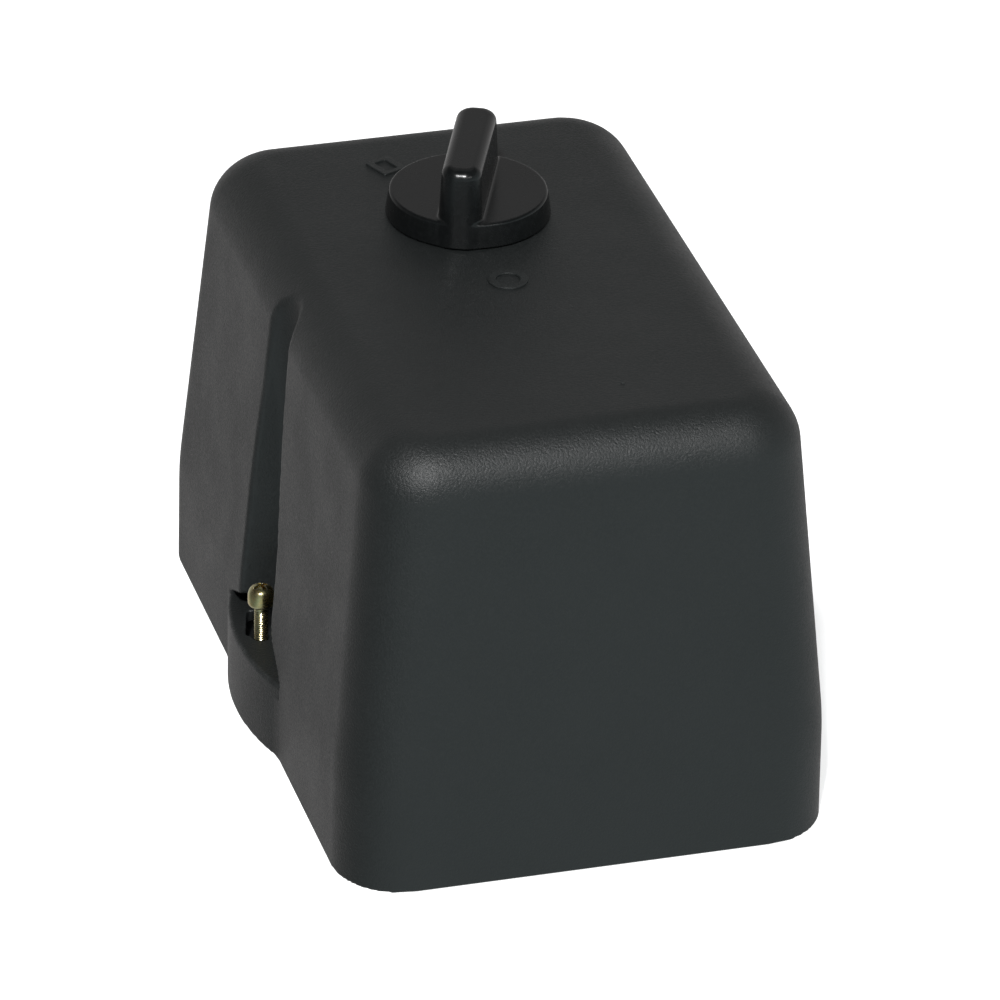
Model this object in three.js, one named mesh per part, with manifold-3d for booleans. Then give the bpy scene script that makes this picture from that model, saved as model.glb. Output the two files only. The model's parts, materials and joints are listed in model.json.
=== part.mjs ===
// Motor protection breaker: moulded hood with a rotary knob over a base tray,
// three-pole contact block and thermal overload unit. Millimetres, +Z up.
// Origin: bottom centre of the hood. -Y is the near short end, -X the long side
// with the driver channel and the captive hood screw.
import * as THREE from 'three';
import { mergeVertices } from 'three/addons/utils/BufferGeometryUtils.js';
import Module from 'manifold-3d';

const wasm = await Module();
wasm.setup();

// ---------------------------------------------------------------- dimensions
const HOOD_A = 52.0;        // half width at the rim
const HOOD_B = 78.55;       // half length at the rim
const HOOD_H = 97.65;       // height of the flat top
const BAND_H = 23.6;        // height of the near-vertical lower band
const BAND_IN = 0.13;       // inward lean of the band
const TOP_A = 45.28;        // half width carried up to the top plane
const TOP_B = 73.26;        // half length carried up to the top plane
const PLAN_R = 14.4;        // plan corner radius
const TOP_R = 10.7;         // edge rounding round the top
const WALL = 2.8;           // hood wall
const MID_Y = 0.3;          // centre of the lobes and channels along Y
const LOBE_R = 60.0;        // lobe radius
const LOBE_CX = 4.36;       // lobe centre, across the hood
const LOBE_H = 17.3;        // top of the lobe = seat of the hood screw
const LOBE_WALL = 1.9;
const CH_X = 42.1;          // floor of the driver channel, upright
const CH_WALL = 2.2;
const CH_SLOPE = 0.3;       // widening of the channel per mm away from its floor
// driver channel from foot to head: height, half width of the floor, centre along Y, corner radius
const CHANNEL = [[17.301, 9.1, 0.2, 1.5], [40, 9.1, 0.4, 2.0], [50, 8.5, 1.2, 2.2], [60, 7.4, 1.8, 2.5], [70, 6.2, 2.0, 3.3], [80, 5.6, 2.3, 4.6], [88, 5.6, 2.5, 5.4], [100, 5.6, 2.6, 5.4]];
const SCREW_X = 50.3;       // hood screw axis
const SCREW_Y = 0.5;
const SCREW_HEAD_Z = 24.6;  // underside of the raised head
const KX = 0.9, KY = 27.3;  // knob and spindle axis
const BAR_ANGLE = -22.5;    // grip bar, degrees from +Y
const KNOB_R = 17.4, KNOB_RT = 16.6, KNOB_DISC = 5.4, KNOB_H = 17.4;
const KNOB_GAP = 0.3;
const LIFT_PER_RAD = 2.546; // carrier travel per radian of spindle (4 mm per quarter turn)
const POLE = 19.6;          // pole pitch
const CONTACT_Z = 32.0;     // top of the fixed contact bars
const BLOCK = { x: 34, y0: KY - 26, y1: KY + 26, z0: 4.3, z1: 61.7, w: 2.6 };
const OL = { x: 35, y0: -57, y1: -11, z0: 4.3, z1: 46, w: 2.6 };

// ---------------------------------------------------------------- helpers
const V = (x, y, z) => [x, y, z];
function solid(geo) {
  const g = geo.clone();
  g.deleteAttribute('normal'); g.deleteAttribute('uv');
  const m = mergeVertices(g, 1e-4);
  const p = m.getAttribute('position').array;
  const idx = m.index.array;
  const tri = [];
  for (let i = 0; i < idx.length; i += 3) {
    if (idx[i] !== idx[i + 1] && idx[i + 1] !== idx[i + 2] && idx[i] !== idx[i + 2]) tri.push(idx[i], idx[i + 1], idx[i + 2]);
  }
  const mesh = new wasm.Mesh({ numProp: 3, vertProperties: new Float32Array(p), triVerts: new Uint32Array(tri) });
  mesh.merge();
  return new wasm.Manifold(mesh);
}
const box = (x0, x1, y0, y1, z0, z1) => solid(new THREE.BoxGeometry(x1 - x0, y1 - y0, z1 - z0).translate((x0 + x1) / 2, (y0 + y1) / 2, (z0 + z1) / 2));
const cylZ = (r, z0, z1, x = 0, y = 0, seg = 24, r2 = r) => solid(new THREE.CylinderGeometry(r2, r, z1 - z0, seg).rotateX(Math.PI / 2).translate(x, y, (z0 + z1) / 2));
const cylX = (r, x0, x1, y = 0, z = 0, seg = 20) => solid(new THREE.CylinderGeometry(r, r, x1 - x0, seg).rotateZ(-Math.PI / 2).translate((x0 + x1) / 2, y, z));
const ringZ = (ri, ro, z0, z1, x, y, seg = 24) => cylZ(ro, z0, z1, x, y, seg).subtract(cylZ(ri, z0 - 1, z1 + 1, x, y, seg));
function latheZ(pts, x = 0, y = 0, seg = 24) {
  return solid(new THREE.LatheGeometry(pts.map(([r, z]) => new THREE.Vector2(r, z)), seg).rotateX(Math.PI / 2).translate(x, y, 0));
}
function prism(poly, z0, z1) {           // polygon in XY, extruded along Z
  const s = new THREE.Shape(poly.map(([x, y]) => new THREE.Vector2(x, y)));
  return solid(new THREE.ExtrudeGeometry(s, { depth: z1 - z0, bevelEnabled: false }).translate(0, 0, z0));
}
function prismX(poly, x0, x1) {          // polygon in YZ, extruded along X
  const s = new THREE.Shape(poly.map(([y, z]) => new THREE.Vector2(y, z)));
  const g = new THREE.ExtrudeGeometry(s, { depth: x1 - x0, bevelEnabled: false });
  g.applyMatrix4(new THREE.Matrix4().makeBasis(new THREE.Vector3(0, 1, 0), new THREE.Vector3(0, 0, 1), new THREE.Vector3(1, 0, 0)));
  return solid(g.translate(x0, 0, 0));
}
function prismY(poly, y0, y1) {          // polygon in XZ, extruded along Y
  const s = new THREE.Shape(poly.map(([x, z]) => new THREE.Vector2(-x, z)));
  const g = new THREE.ExtrudeGeometry(s, { depth: y1 - y0, bevelEnabled: false });
  g.applyMatrix4(new THREE.Matrix4().makeBasis(new THREE.Vector3(-1, 0, 0), new THREE.Vector3(0, 0, 1), new THREE.Vector3(0, 1, 0)));
  return solid(g.translate(0, y0, 0));
}
function rrect(a, b, r, z, n = 6, cx = 0, cy = 0) {
  const out = [];
  [[a - r, b - r, 0], [-(a - r), b - r, 90], [-(a - r), -(b - r), 180], [a - r, -(b - r), 270]].forEach(([x, y, t0]) => {
    for (let k = 0; k <= n; k++) {
      const t = THREE.MathUtils.degToRad(t0 + 90 * k / n);
      out.push(V(cx + x + r * Math.cos(t), cy + y + r * Math.sin(t), z));
    }
  });
  return out;
}
function loft(levels) {
  const pos = [], idx = [], n = levels[0].length, L = levels.length;
  levels.forEach((l) => l.forEach((p) => pos.push(...p)));
  for (let k = 0; k < L - 1; k++) for (let i = 0; i < n; i++) {
    const a = k * n + i, b = k * n + (i + 1) % n;
    idx.push(a, b, b + n, a, b + n, a + n);
  }
  const mid = (l) => l.reduce((s, p) => [s[0] + p[0] / n, s[1] + p[1] / n, s[2] + p[2] / n], [0, 0, 0]);
  const cb = pos.length / 3; pos.push(...mid(levels[0]));
  const ct = pos.length / 3; pos.push(...mid(levels[L - 1]));
  for (let i = 0; i < n; i++) {
    const j = (i + 1) % n;
    idx.push(cb, j, i, ct, (L - 1) * n + i, (L - 1) * n + j);
  }
  const g = new THREE.BufferGeometry();
  g.setAttribute('position', new THREE.Float32BufferAttribute(pos, 3));
  g.setIndex(idx);
  return solid(g);
}
function spring(r, wire, z0, z1, turns, x, y, segPerTurn = 12, sides = 6) {
  class Helix extends THREE.Curve {
    getPoint(t, o = new THREE.Vector3()) {
      const a = t * turns * 2 * Math.PI;
      return o.set(x + r * Math.cos(a), y + r * Math.sin(a), z0 + wire + (z1 - z0 - 2 * wire) * t);
    }
  }
  const s = new THREE.Shape();
  for (let i = 0; i < sides; i++) {
    const a = i / sides * 2 * Math.PI;
    if (i) s.lineTo(wire * Math.cos(a), wire * Math.sin(a)); else s.moveTo(wire, 0);
  }
  return solid(new THREE.ExtrudeGeometry(s, { steps: Math.round(turns * segPerTurn), extrudePath: new Helix(), bevelEnabled: false }));
}
const rot = (m, deg, x, y) => m.translate([-x, -y, 0]).rotate([0, 0, deg]).translate([x, y, 0]);

const root = new THREE.Group();
root.name = 'motor_protection_breaker';
function put(name, m, color, roughness, metalness = 0) {
  const r = m.getMesh();
  const g0 = new THREE.BufferGeometry();
  const np = r.numProp, vp = r.vertProperties, pos = new Float32Array(vp.length / np * 3);
  for (let i = 0; i < vp.length / np; i++) { pos[3 * i] = vp[np * i]; pos[3 * i + 1] = vp[np * i + 1]; pos[3 * i + 2] = vp[np * i + 2]; }
  g0.setAttribute('position', new THREE.BufferAttribute(pos, 3));
  g0.setIndex(new THREE.BufferAttribute(new Uint32Array(r.triVerts), 1));
  const mesh = new THREE.Mesh(g0, new THREE.MeshStandardMaterial({ color, roughness, metalness }));
  g0.computeVertexNormals();
  mesh.name = name;
  root.add(mesh);
}

// ---------------------------------------------------------------- hood
const at = (z) => {
  const f = (z - BAND_H) / (HOOD_H - BAND_H);
  return [HOOD_A - BAND_IN + (TOP_A - HOOD_A + BAND_IN) * f, HOOD_B - BAND_IN + (TOP_B - HOOD_B + BAND_IN) * f];
};
function hoodBody(off, z0, zTop, n) {
  const lv = [rrect(HOOD_A - off, HOOD_B - off, PLAN_R - off, z0, n), rrect(HOOD_A - BAND_IN - off, HOOD_B - BAND_IN - off, PLAN_R - off, BAND_H, n)];
  const R = TOP_R - off;
  for (let k = 0; k <= 5; k++) {
    const t = k / 5 * Math.PI / 2, z = zTop - R + R * Math.sin(t), ins = R * (1 - Math.cos(t)) + off;
    const [a, b] = at(z);
    lv.push(rrect(a - ins, b - ins, Math.max(PLAN_R + 0.4 - ins, 2.2), z, n));
  }
  return loft(lv);
}
const arcPts = (R, cx, half, side, n) => {
  const a = Math.asin(half / R), o = [];
  for (let k = 0; k <= n; k++) {
    const t = -a + 2 * a * k / n;
    o.push([side * (R * Math.cos(t) - cx), MID_Y + R * Math.sin(t)]);
  }
  return o;
};
function lobe(R, half, side, z0, z1, xin, n = 14) {
  const p = arcPts(R, LOBE_CX, half, side, n);
  p.push([side * xin, MID_Y + half], [side * xin, MID_Y - half]);
  if (side < 0) p.reverse();
  return prism(p, z0, z1);
}
let hood = hoodBody(0, 0, HOOD_H, 6);
for (const s of [-1, 1]) hood = hood.add(lobe(LOBE_R, 22.4, s, 0, LOBE_H, 46));
let cavity = hoodBody(WALL, -1, HOOD_H - WALL, 5);
for (const s of [-1, 1]) cavity = cavity.add(lobe(LOBE_R - LOBE_WALL, 18.6, s, -1, LOBE_H - 2.6, 40));
// material kept behind the channel and round the screw pocket
const keep = (z, half, cy) => rrect(20, half + CH_WALL, 1.5, z, 2, -(CH_X - CH_WALL + 20), cy);
cavity = cavity.subtract(loft([keep(LOBE_H - 2.6, 12.1, 0.2), keep(50, 10.9, 1.2), keep(80, 7.2, 2.3), keep(96, 7.0, 2.6)]));
cavity = cavity.subtract(box(-60, -45.6, MID_Y - 23.5, MID_Y + 23.5, LOBE_H - 2.6, 29));
hood = hood.subtract(cavity);
// driver channel: narrows upwards and runs out in an arch through the top rounding
const groove = ([z, half, cy, r]) => {
  const k = Math.hypot(1, CH_SLOPE), ec = half + CH_SLOPE * r - r * k, p1 = Math.acos(CH_SLOPE / k), side = [[28, half + CH_SLOPE * 28]];
  for (let i = 5; i >= 0; i--) side.push([r - r * Math.cos(p1 * i / 5), ec + r * Math.sin(p1 * i / 5)]);
  const lower = side.map(([d, e]) => V(-(CH_X + d), cy - e, z));
  const upper = side.map(([d, e]) => V(-(CH_X + d), cy + e, z)).reverse();
  return [...lower, ...upper];
};
hood = hood.subtract(loft(CHANNEL.map(groove)));
// mouth of the screw pocket, flared along the seat
hood = hood.subtract(prismX([[-21.3, LOBE_H], [20.9, LOBE_H], [11.2, 21.6], [0, 30], [-11.3, 34], [-12.2, 28], [-13.9, 24.2], [-16.2, 22.2], [-18.8, 20.2]], -62, -47.4));
// clearance hole of the screw and the slot through the seat beside it
hood = hood.subtract(cylZ(1.8, LOBE_H - 4, LOBE_H + 2, -SCREW_X, SCREW_Y, 16));
hood = hood.subtract(rot(box(-51.95, -50.05, 1.0, 11.6, LOBE_H - 4, LOBE_H + 1), -15.5, -51, 6.3));
// collar, bore and seal seat for the knob stem
hood = hood.add(cylZ(9.6, HOOD_H - 8.2, HOOD_H - 1, KX, KY, 28));
hood = hood.subtract(cylZ(5.8, HOOD_H - 12, HOOD_H + 2, KX, KY, 28));
hood = hood.subtract(cylZ(8.0, HOOD_H - 2.1, HOOD_H + 2, KX, KY, 28));
// raised position marks
const iBar = (hx, hy, z0, z1) => rot(box(-10.4 - hx, -10.4 + hx, 51.5 - hy, 51.5 + hy, z0, z1), 23, -10.4, 51.5);
const iMark = iBar(2.9, 3.4, HOOD_H - 0.5, HOOD_H + 0.4).subtract(iBar(1.4, 2.2, HOOD_H, HOOD_H + 2));
const oMark = ringZ(2.5, 4.2, HOOD_H - 0.5, HOOD_H + 0.4, 0.8, -3.9, 20);
hood = hood.add(iMark).add(oMark);
put('hood', hood, '#2b2d2d', 0.62);
put('knob_seal', ringZ(5.9, 7.7, HOOD_H - 1.8, HOOD_H - 0.1, KX, KY, 28), '#161616', 0.85);

// ---------------------------------------------------------------- knob
{
  const z0 = HOOD_H + KNOB_GAP, zt = z0 + KNOB_DISC;
  let k = latheZ([[0, z0], [KNOB_R, z0], [KNOB_RT + 0.1, zt - 0.5], [KNOB_RT - 0.4, zt], [0, zt]], KX, KY, 36);
  const bar = loft([
    rrect(4.8, 17.9, 4.0, z0 + 0.2, 4, KX, KY),
    rrect(4.25, 16.2, 3.5, HOOD_H + KNOB_H - 2.0, 4, KX, KY),
    rrect(3.9, 15.75, 3.2, HOOD_H + KNOB_H - 0.9, 4, KX, KY),
    rrect(3.2, 15.0, 2.6, HOOD_H + KNOB_H - 0.25, 4, KX, KY),
    rrect(2.3, 14.1, 1.9, HOOD_H + KNOB_H, 4, KX, KY)]);
  k = k.add(rot(bar, BAR_ANGLE, KX, KY));
  k = k.add(cylZ(5.5, 80, z0 + 1, KX, KY, 28));
  k = k.subtract(rot(box(KX - 2.3, KX + 2.3, KY - 4.3, KY + 4.3, 79, 92), BAR_ANGLE, KX, KY));
  put('knob', k, '#1b1c1d', 0.32);
  put('knob_clip', ringZ(5.8, 8.6, HOOD_H - 10.0, HOOD_H - 8.6, KX, KY, 24).subtract(box(KX + 2, KX + 10, KY - 1.5, KY + 1.5, 80, 92)), '#8e9091', 0.4, 0.9);
}

// ---------------------------------------------------------------- hood screw
{
  const x = -SCREW_X, y = SCREW_Y, h = SCREW_HEAD_Z;
  let sc = latheZ([[0, 8.4], [1.0, 8.4], [1.5, 9.1], [1.5, h], [2.85, h], [2.85, h + 3.1], [2.55, h + 4.2], [1.7, h + 4.9], [0, h + 5.2]], x, y, 24);
  for (const a of [20, 110]) sc = sc.subtract(rot(box(x - 1.75, x + 1.75, y - 0.34, y + 0.34, h + 3.3, h + 6), a, x, y));
  put('hood_screw', sc, '#b9a35c', 0.3, 1);
  put('screw_keeper', ringZ(1.8, 2.7, LOBE_H - 3.7, LOBE_H - 2.9, x, y, 18), '#161616', 0.85);
}

// ---------------------------------------------------------------- base tray
{
  const a = HOOD_A - WALL - 0.5, b = HOOD_B - WALL - 0.5, r = PLAN_R - WALL - 0.2;
  let t = loft([rrect(a, b, r, 0, 4), rrect(a, b, r, 13.4, 4)]).subtract(loft([rrect(a - 2.4, b - 2.4, r - 2.4, 3.6, 4), rrect(a - 2.4, b - 2.4, r - 2.4, 20, 4)]));
  // screw boss on the left, locating tongue under the right-hand lobe
  t = t.add(cylZ(2.9, 0, 12.9, -SCREW_X, SCREW_Y, 20)).add(box(-SCREW_X, -44.5, SCREW_Y - 2.9, SCREW_Y + 2.9, 0, 12.9));
  t = t.subtract(cylZ(1.8, -1, 16, -SCREW_X, SCREW_Y, 16));
  t = t.add(box(45.5, 52.4, MID_Y - 9, MID_Y + 9, 0, 12.9));
  for (const s of [-1, 1]) {
    for (const sy of [-1, 1]) {
      t = t.add(cylZ(5, 1, 7, s * 40, sy * 64, 20)).subtract(cylZ(2.3, -2, 9, s * 40, sy * 64, 16));
    }
    t = t.subtract(cylZ(7.3, -2, 9, s * 17, 62.6, 24));
  }
  put('base_tray', t, '#3a3c3d', 0.6);
  for (const [tag, s] of [['left', -1], ['right', 1]]) {
    put('entry_grommet_' + tag, latheZ([[4.4, 0.3], [7.0, 0.3], [7.0, 3.9], [8.6, 3.9], [8.0, 6.6], [4.4, 6.6], [4.4, 0.3]], s * 17, 62.6, 24), '#141414', 0.85);
  }
}

// ---------------------------------------------------------------- contact block
const poleX = (i) => KX + (i - 1) * POLE;
const barW = 4.2;
{
  const { x, y0, y1, z0, z1, w } = BLOCK;
  let c = box(KX - x, KX + x, y0, y1, z0, z1);
  c = c.subtract(box(KX - x + w, KX + x - w, y0 + w, y1 - w, z0 + 3.4, z1 + 2));
  for (const d of [-1, 1]) c = c.add(box(KX + d * POLE / 2 - 1, KX + d * POLE / 2 + 1, y0 + 1, y1 - 1, z0 + 2, 47));
  for (let i = 0; i < 3; i++) {
    for (const [p0, p1] of [[y0 - 2, y0 + w + 2], [y1 - w - 2, y1 + 2]]) c = c.subtract(box(poleX(i) - barW - 0.3, poleX(i) + barW + 0.3, p0, p1, CONTACT_Z - 2.3, CONTACT_Z + 0.3));
  }
  for (const [fx, fy] of [[-1, 14], [1, -14]]) {   // fixing feet
    const [f0, f1] = fx < 0 ? [KX - x - 6.4, KX - x + 1] : [KX + x - 1, KX + x + 6.4];
    c = c.add(box(f0, f1, KY + fy - 5, KY + fy + 5, z0, z0 + 4)).subtract(cylZ(1.9, z0 - 1, z0 + 6, KX + fx * (x + 3.2), KY + fy, 14));
  }
  put('contact_block', c, '#5b3d2e', 0.55);
  let p = box(KX - x, KX + x, y0, y1, z1 + 0.3, z1 + 3.1).subtract(cylZ(4.4, z1 - 2, z1 + 6, KX, KY, 24));
  for (const d of [-1, 1]) p = p.subtract(box(KX + d * 24 - 5, KX + d * 24 + 5, KY - 15, KY + 15, z1 - 2, z1 + 6));
  put('bearing_plate', p, '#9b9d9e', 0.42, 0.85);
}
// fixed contacts with clamp terminals, and links to the overload unit
const slotScrew = (x, y, z, r, hr, len) => latheZ([[0, z - len], [r, z - len], [r, z], [hr, z], [hr, z + 1.6], [hr - 0.6, z + 2.1], [0, z + 2.1]], x, y, 12)
  .subtract(box(x - hr - 1, x + hr + 1, y - 0.45, y + 0.45, z + 0.9, z + 4));
for (let i = 0; i < 3; i++) {
  const x = poleX(i), z = CONTACT_Z;
  const { y0, y1 } = BLOCK;
  let line = box(x - barW, x + barW, KY + 12, y1 + 15.2, z - 2, z).add(cylZ(2.4, z - 0.5, z + 1.4, x, KY + 14.8, 16));
  line = line.add(box(x - barW, x + barW, y1 + 13.2, y1 + 15.2, z - 9, z - 1));
  line = line.subtract(cylZ(1.9, z - 4, z + 2, x, y1 + 7, 14));
  put('line_contact_' + (i + 1), line, '#b88a4a', 0.35, 0.95);
  put('line_terminal_screw_' + (i + 1), slotScrew(x, y1 + 7, z + 0.3, 1.6, 3.4, 7), '#a9abad', 0.35, 0.95);
  let link = box(x - barW, x + barW, OL.y1 - 8, KY - 12, z - 2, z).add(cylZ(2.4, z - 0.5, z + 1.4, x, KY - 14.8, 16));
  put('load_contact_' + (i + 1), link, '#b88a4a', 0.35, 0.95);
}

// ---------------------------------------------------------------- spindle and cam
{
  let sp = cylZ(4.1, 57, 74, KX, KY, 24).add(rot(box(KX - 2.0, KX + 2.0, KY - 4.0, KY + 4.0, 73, 90), BAR_ANGLE, KX, KY));
  put('spindle', sp, '#a4a6a7', 0.35, 0.95);
  // face cam: two helical ramps facing down
  const ramp = (dir) => {
    const pos = [], idx = [], N = 14, a0 = -0.96, a1 = 0.96;
    for (let k = 0; k <= N; k++) {
      const a = a0 + (a1 - a0) * k / N, t = dir + a, zb = 58.5 + LIFT_PER_RAD * a;
      for (const [r, z] of [[5.0, zb], [13, zb], [13, 61.4], [5.0, 61.4]]) pos.push(KX + r * Math.cos(t), KY + r * Math.sin(t), z);
    }
    for (let k = 0; k < N; k++) for (let j = 0; j < 4; j++) {
      const a = 4 * k + j, b = 4 * k + (j + 1) % 4;
      idx.push(a, b + 4, b, a, a + 4, b + 4);
    }
    idx.push(0, 1, 2, 0, 2, 3); const e = 4 * N; idx.push(e, e + 2, e + 1, e, e + 3, e + 2);
    const g = new THREE.BufferGeometry();
    g.setAttribute('position', new THREE.Float32BufferAttribute(pos, 3)); g.setIndex(idx);
    return solid(g);
  };
  let cam = ringZ(4.4, 6.8, 57.2, 61.4, KX, KY, 24).add(ramp(0)).add(ramp(Math.PI));
  cam = cam.subtract(cylZ(4.4, 50, 70, KX, KY, 24));
  put('cam', cam, '#c9c2ae', 0.5);
}

// ---------------------------------------------------------------- contact carrier
{
  let c = box(KX - 29, KX + 29, KY - 5.5, KY + 5.5, 50, 53.6);
  for (const s of [-1, 1]) c = c.add(box(KX + s * 9.7 - 2.1, KX + s * 9.7 + 2.1, KY - 1.0, KY + 1.0, 53, 57.9));
  for (let i = 0; i < 3; i++) {
    const x = poleX(i);
    c = c.add(box(x - 5.2, x + 5.2, KY - 3.4, KY + 3.4, 33.2, 51));
    c = c.subtract(box(x - 3.3, x + 3.3, KY - 6, KY + 6, 35.3, 46.2));
  }
  put('contact_carrier', c, '#d9d4c4', 0.5);
  for (let i = 0; i < 3; i++) {
    const x = poleX(i), z = 35.7;
    let b = box(x - 2.9, x + 2.9, KY - 17.5, KY + 17.5, z, z + 1.5);
    for (const s of [-1, 1]) b = b.add(cylZ(2.2, z - 0.2, z + 1, x, KY + s * 14.8, 14));
    put('bridge_' + (i + 1), b, '#c08a4e', 0.35, 0.95);
    put('contact_spring_' + (i + 1), spring(2.0, 0.4, z + 1.8, 45.9, 4, x, KY, 8, 5), '#b4b6b8', 0.35, 0.95);
  }
  for (const [tag, s] of [['left', -1], ['right', 1]]) {
    put('return_spring_' + tag, spring(1.7, 0.4, 8.1, 49.7, 7, KX + s * 28.3, KY, 8, 4), '#b4b6b8', 0.35, 0.95);
  }
}

// ---------------------------------------------------------------- thermal overload unit
{
  const { x, y0, y1, z0, z1, w } = OL;
  let c = box(KX - x, KX + x, y0, y1, z0, z1);
  c = c.subtract(box(KX - x + w, KX + x - w, y0 + w, y1 - w, z0 + 3.4, z1 - 3));
  c = c.subtract(box(KX - x + w + 2, KX + x - w - 2, y0 + 18, y1 - 6, z1 - 6, z1 + 4));
  c = c.add(box(KX + 15, KX + x - 1, y0 + 1, y0 + 17, 22.4, 25.7));                 // seat of the reset spring
  for (let i = 0; i < 3; i++) {
    c = c.subtract(box(poleX(i) - barW - 0.3, poleX(i) + barW + 0.3, y1 - w - 2, y1 + 2, CONTACT_Z - 2.3, CONTACT_Z + 0.3));
    c = c.subtract(box(poleX(i) - barW - 0.3, poleX(i) + barW + 0.3, y0 - 2, y0 + w + 2, 17.7, 20.3));
  }
  for (const [fx, fy] of [[-1, 12], [1, -12]]) {
    const [f0, f1] = fx < 0 ? [KX - x - 6.4, KX - x + 1] : [KX + x - 1, KX + x + 6.4];
    c = c.add(box(f0, f1, -34 + fy - 5, -34 + fy + 5, z0, z0 + 4)).subtract(cylZ(1.9, z0 - 1, z0 + 6, KX + fx * (x + 3.2), -34 + fy, 14));
  }
  c = c.subtract(cylZ(4.3, z1 - 6, z1 + 2, KX + 22, y0 + 9.5, 20));                 // reset plunger bore
  c = c.subtract(cylZ(2.3, z1 - 6, z1 + 2, KX - 20, y0 + 9.5, 16));                 // dial shaft bore
  c = c.add(cylZ(1.6, z1 - 1, z1 + 5.6, KX + 28.6, y1 - 3.2, 16));                   // latch pivot post
  put('overload_case', c, '#2f3133', 0.55);

  for (let i = 0; i < 3; i++) {
    const px = poleX(i);
    // bimetal foot carries the current in; the blade stands up beside the trip slide
    let bm = box(px + 1.4, px + 2.6, y1 - 20, y1 - 13, 24, 46.4).add(box(px - 3.4, px + 2.6, y1 - 20, y1 - 13, 22.6, 24.4));
    put('bimetal_' + (i + 1), bm, '#b9a98a', 0.4, 0.95);
    let ld = box(px - barW, px + barW, y0 - 12.4, y1 - 12.6, 18, 20);
    ld = ld.subtract(cylZ(1.9, 12, 24, px, y0 - 6.4, 14));
    ld = ld.add(box(px - barW, px + barW, y0 - 12.4, y0 - 10.4, 11, 19));
    ld = ld.add(box(px - 3.4, px - 0.4, y1 - 20, y1 - 13, 19, 22.3));
    put('load_terminal_' + (i + 1), ld, '#b88a4a', 0.35, 0.95);
    put('load_terminal_screw_' + (i + 1), slotScrew(px, y0 - 6.4, 20.3, 1.6, 3.4, 7), '#a9abad', 0.35, 0.95);
  }
  // trip slide along X above the bimetals
  let t = box(KX - 27, KX + 27, y1 - 12.2, y1 - 8.6, z1 - 2.2, z1 + 0.2);
  for (let i = 0; i < 3; i++) t = t.add(box(poleX(i) + 3.1, poleX(i) + 5.1, y1 - 20.2, y1 - 8.6, z1 - 2.2, z1 + 0.2));
  t = t.add(box(KX + 22.9, KX + 24.9, y1 - 12.2, y1 - 7.7, z1 - 0.8, z1 + 4.2));
  put('trip_slide', t, '#cfc8b6', 0.5);
  // latch lever turned by the slide
  const lx = KX + 28.6, ly = y1 - 3.2;
  let l = cylZ(3.6, z1 + 0.4, z1 + 4.2, lx, ly, 18).add(box(lx - 2.9, lx - 1.3, ly - 6.6, ly, z1 + 0.4, z1 + 4.2)).add(box(lx - 1.0, lx + 1.0, ly, ly + 9, z1 + 0.4, z1 + 4.2));
  l = l.subtract(cylZ(1.9, z1 - 2, z1 + 8, lx, ly, 16));
  put('trip_latch', l, '#a4a6a7', 0.4, 0.9);
  // current setting dial
  let d = latheZ([[0, z1 - 4.6], [2.0, z1 - 4.6], [2.0, z1 + 0.3], [8, z1 + 0.3], [8, z1 + 3.2], [7.4, z1 + 3.8], [0, z1 + 3.8]], KX - 20, y0 + 9.5, 28);
  d = d.subtract(box(KX - 20 - 5.4, KX - 20 + 5.4, y0 + 9.5 - 0.6, y0 + 9.5 + 0.6, z1 + 2.4, z1 + 6));
  put('setting_dial', d, '#e4e1d6', 0.45);
  // reset plunger and its spring
  const rb = latheZ([[0, z1 - 9], [1.4, z1 - 9], [1.4, z1 - 4.6], [4.0, z1 - 4.6], [4.0, z1 + 4.4], [3.4, z1 + 5], [0, z1 + 5]], KX + 22, y0 + 9.5, 24);
  put('reset_button', rb, '#8f1f1c', 0.4);
  put('reset_spring', spring(2.4, 0.35, 26.0, z1 - 4.9, 5, KX + 22, y0 + 9.5, 8, 5), '#b4b6b8', 0.35, 0.95);
}

// ---------------------------------------------------------------- block fixing screws and earth terminal
[[KX - BLOCK.x - 3.2, KY + 14], [KX + BLOCK.x + 3.2, KY - 14]].forEach(([x, y], i) => {
  put('block_screw_' + (i + 1), slotScrew(x, y, 8.6, 1.6, 2.9, 4.2), '#a9abad', 0.35, 0.95);
});
[[KX - OL.x - 3.2, -22], [KX + OL.x + 3.2, -46]].forEach(([x, y], i) => {
  put('overload_screw_' + (i + 1), slotScrew(x, y, 8.6, 1.6, 2.9, 4.2), '#a9abad', 0.35, 0.95);
});
{
  const ex = -40, ey = 18;
  let e = box(ex - 4, ex + 4, ey - 6, ey + 10, 4.0, 5.4).add(box(ex - 4, ex + 4, ey + 8.4, ey + 10, 4.5, 13));
  e = e.subtract(cylZ(1.9, 2, 8, ex, ey, 14));
  put('earth_clamp', e, '#b08f4a', 0.35, 0.95);
  put('earth_screw', slotScrew(ex, ey, 5.7, 1.5, 3.2, 1.8), '#4f8f52', 0.4, 0.9);
}

export default root;
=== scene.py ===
import json
import math

import bmesh
import bpy
import numpy as np
from mathutils import Matrix, Vector


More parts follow.
